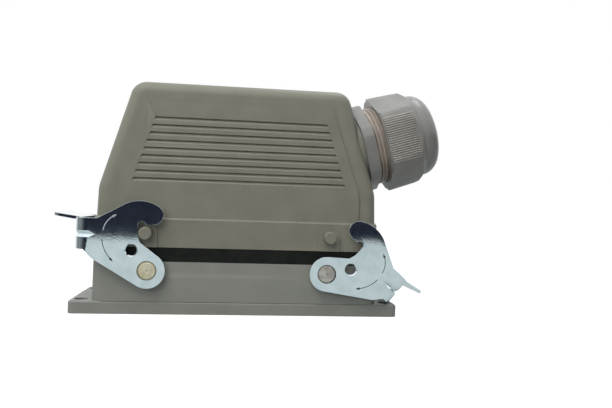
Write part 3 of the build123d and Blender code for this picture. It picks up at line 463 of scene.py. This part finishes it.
def lever_mark(name, side, opening, body, points, material):
    """An arc arrow stamped on the cheek, showing one way the lever turns."""
    pivot, outwards, upwards = lever_frame(side, opening)
    normal = Vector((0, -1, 0))
    face = Vector((0, -CHEEK_FACE - MARK_LIFT, 0))
    bm = bmesh.new()

    def place(reach, rise):
        return pivot + outwards * reach + upwards * rise + face

    centre, radius, start, end = arc_through(*points)
    angles = [start + (end - start) * i / MARK_STEPS for i in range(MARK_STEPS + 1)]
    rim = [(centre[0] + radius * cos(a), centre[1] + radius * sin(a)) for a in angles]
    ribbon(bm, [place(*p) for p in rim], normal, MARK_WIDTH)
    tip = rim[-1]
    heading = atan2(rim[-1][1] - rim[-3][1], rim[-1][0] - rim[-3][0])
    head = [(tip[0] + ARROW_TIP * cos(heading), tip[1] + ARROW_TIP * sin(heading))]
    for turn in (ARROW_BARB_TURN, -ARROW_BARB_TURN):
        barb = heading + turn
        head.append((tip[0] + ARROW_BARB * cos(barb), tip[1] + ARROW_BARB * sin(barb)))
    bm.faces.new([bm.verts.new(place(*p)) for p in head])
    bmesh.ops.recalc_face_normals(bm, faces=bm.faces)
    new_piece(name, bm, material, body)


# Reach and rise from the pivot, in millimetres, of each arc's start, middle and end
UPPER_ARC = ((17.85, 16.24), (17.0, 18.9), (13.6, 22.3))
LOWER_ARC = ((18.2, 12.9), (17.3, 8.9), (14.3, 4.3))


def arc_through(start, middle, end):
    """Centre, radius, first and last angle of the arc through three points given in millimetres."""
    (ax, ay), (bx, by), (cx, cy) = start, middle, end
    d = 2 * (ax * (by - cy) + bx * (cy - ay) + cx * (ay - by))
    a2, b2, c2 = ax * ax + ay * ay, bx * bx + by * by, cx * cx + cy * cy
    ux = (a2 * (by - cy) + b2 * (cy - ay) + c2 * (ay - by)) / d
    uy = (a2 * (cx - bx) + b2 * (ax - cx) + c2 * (bx - ax)) / d
    first = atan2(ay - uy, ax - ux)
    last = atan2(cy - uy, cx - ux)
    return (ux * MM, uy * MM), hypot(ax - ux, ay - uy) * MM, first, last


# Stage, lights and camera

def by_ray(tree, others, mirrored, seen_shader):
    """Chooses a shader for what the camera sees, what metal mirrors, and all other light."""
    path = tree.nodes.new("ShaderNodeLightPath")
    for ray, shader in (("Is Glossy Ray", mirrored), ("Is Camera Ray", seen_shader)):
        mix = tree.nodes.new("ShaderNodeMixShader")
        tree.links.new(path.outputs[ray], mix.inputs[0])
        tree.links.new(others, mix.inputs[1])
        tree.links.new(shader, mix.inputs[2])
        others = mix.outputs[0]
    return others


def stage_floor():
    """Pale table: white to the camera, bright in the metal, with a soft shadow."""
    mesh = bpy.data.meshes.new("floor")
    corners = [(-0.22, -0.53, 0), (0.8, -0.53, 0), (0.8, 3, 0), (-0.22, 3, 0)]
    mesh.from_pydata(corners, [], [(0, 1, 2, 3)])
    floor = bpy.data.objects.new("floor", mesh)
    bpy.context.scene.collection.objects.link(floor)
    material = bpy.data.materials.new("pale_floor")
    material.use_nodes = True
    tree = material.node_tree
    tree.nodes.clear()
    output = tree.nodes.new("ShaderNodeOutputMaterial")

    def lit_and_glowing(albedo, glow):
        plain = tree.nodes.new("ShaderNodeBsdfDiffuse")
        plain.inputs["Color"].default_value = (*albedo, 1)
        light = tree.nodes.new("ShaderNodeEmission")
        light.inputs["Color"].default_value = (*glow, 1)
        both = tree.nodes.new("ShaderNodeAddShader")
        tree.links.new(plain.outputs[0], both.inputs[0])
        tree.links.new(light.outputs[0], both.inputs[1])
        return both.outputs[0]

    bounce = lit_and_glowing((0.34, 0.34, 0.33), (0.0, 0.0, 0.0))
    mirrored = lit_and_glowing((0.24, 0.26, 0.265), (0.31, 0.35, 0.352))
    white = lit_and_glowing((0.35, 0.35, 0.35), (0.90, 0.90, 0.90))
    tree.links.new(by_ray(tree, bounce, mirrored, white), output.inputs["Surface"])
    mesh.materials.append(material)


def studio_world():
    """White to the camera, soft light all round; metal sees a dark room in front and a pale roof."""
    world = bpy.data.worlds.new("studio")
    bpy.context.scene.world = world
    world.use_nodes = True
    tree = world.node_tree
    tree.nodes.clear()
    output = tree.nodes.new("ShaderNodeOutputWorld")
    coordinates = tree.nodes.new("ShaderNodeTexCoord")
    split = tree.nodes.new("ShaderNodeSeparateXYZ")
    tree.links.new(coordinates.outputs["Generated"], split.inputs[0])

    def ramp(axis, low_at, high_at):
        reach = tree.nodes.new("ShaderNodeMapRange")
        reach.inputs["From Min"].default_value = low_at
        reach.inputs["From Max"].default_value = high_at
        tree.links.new(split.outputs[axis], reach.inputs["Value"])
        return reach.outputs["Result"]

    def blend(factor, first, second):
        mix = tree.nodes.new("ShaderNodeMix")
        mix.data_type = "RGBA"
        for socket, colour in ((mix.inputs["A"], first), (mix.inputs["B"], second)):
            if isinstance(colour, tuple):
                socket.default_value = (*colour, 1)
            else:
                tree.links.new(colour, socket)
        tree.links.new(factor, mix.inputs["Factor"])
        return mix.outputs["Result"]

    def glow(colour):
        background = tree.nodes.new("ShaderNodeBackground")
        if isinstance(colour, tuple):
            background.inputs["Color"].default_value = (*colour, 1)
        else:
            tree.links.new(colour, background.inputs["Color"])
        return background.outputs[0]

    sides = blend(ramp("Y", -0.75, -0.25), (0.018, 0.021, 0.034), (0.22, 0.24, 0.25))
    back = blend(ramp("Y", 0.25, 0.6), sides, (1.0, 1.0, 1.0))
    room = blend(ramp("Z", 0.12, 0.32), back, (1.08, 1.12, 1.16))
    soft = glow((0.29, 0.295, 0.30))
    tree.links.new(by_ray(tree, soft, glow(room), glow((1.0, 1.0, 1.0))), output.inputs["Surface"])


def softbox(name, place, aim, size, watts, mirrored=False):
    """A soft lamp aimed at a point; metal mirrors it only where mirrored is set."""
    lamp = bpy.data.lights.new(name, "AREA")
    lamp.shape = "RECTANGLE"
    lamp.size, lamp.size_y = size
    lamp.energy = watts
    lamp_object = bpy.data.objects.new(name, lamp)
    bpy.context.scene.collection.objects.link(lamp_object)
    lamp_object.location = place
    lamp_object.visible_glossy = mirrored
    direction = Vector(aim) - Vector(place)
    lamp_object.rotation_mode = "QUATERNION"
    lamp_object.rotation_quaternion = direction.to_track_quat("-Z", "Y")


def photo_camera():
    """The photograph's viewpoint: just above half height, turned a little and rolled two degrees."""
    yaw, pitch, roll = 0.128047, 0.001396, -0.033945
    forward = Vector((sin(yaw) * cos(pitch), cos(yaw) * cos(pitch), -sin(pitch)))
    level = Vector((cos(yaw), -sin(yaw), 0))
    down = forward.cross(level)
    right = level * cos(roll) + down * sin(roll)
    lower = down * cos(roll) - level * sin(roll)
    camera = bpy.data.cameras.new("camera")
    camera.sensor_width = 36.0
    camera.lens = 37.284
    camera.clip_start = 0.01
    camera_object = bpy.data.objects.new("camera", camera)
    bpy.context.scene.collection.objects.link(camera_object)
    turned = Matrix((right, -lower, -forward)).transposed().to_4x4()
    turned.translation = Vector((-6.739, -291.784, 48.532)) * MM
    camera_object.matrix_world = turned
    bpy.context.scene.camera = camera_object


dress_nodes()
gland_thread()
nut_ribs()
# Upper left arc in painted highlight, the other arcs in painted shade.
lever_mark("left_upper_mark", -1, 0.0, "left_lever", UPPER_ARC, mark_painted_highlight)
lever_mark("left_lower_mark", -1, 0.0, "left_lever", LOWER_ARC, mark_painted_shade)
lever_mark("right_upper_mark", 1, RIGHT_LEVER_OPENING, "right_lever", UPPER_ARC, mark_painted_shade)
lever_mark("right_lower_mark", 1, RIGHT_LEVER_OPENING, "right_lever", LOWER_ARC, mark_painted_shade)
stage_floor()
studio_world()
softbox("key", (-0.25, -0.35, 0.75), (0, 0, 0.05), (0.6, 0.6), 5.6)
softbox("fill", (-0.5, -0.8, 0.40), (0, 0, 0.05), (0.4, 0.3), 2.3)
softbox("overhead", (0.30, 0.20, 0.95), (0.07, 0, 0.08), (0.35, 0.25), 1.6, mirrored=True)
softbox("back", (0.35, 0.90, 0.45), (0, 0, 0.05), (0.5, 0.5), 2.6)
photo_camera()
bpy.context.scene.view_settings.view_transform = "Standard"
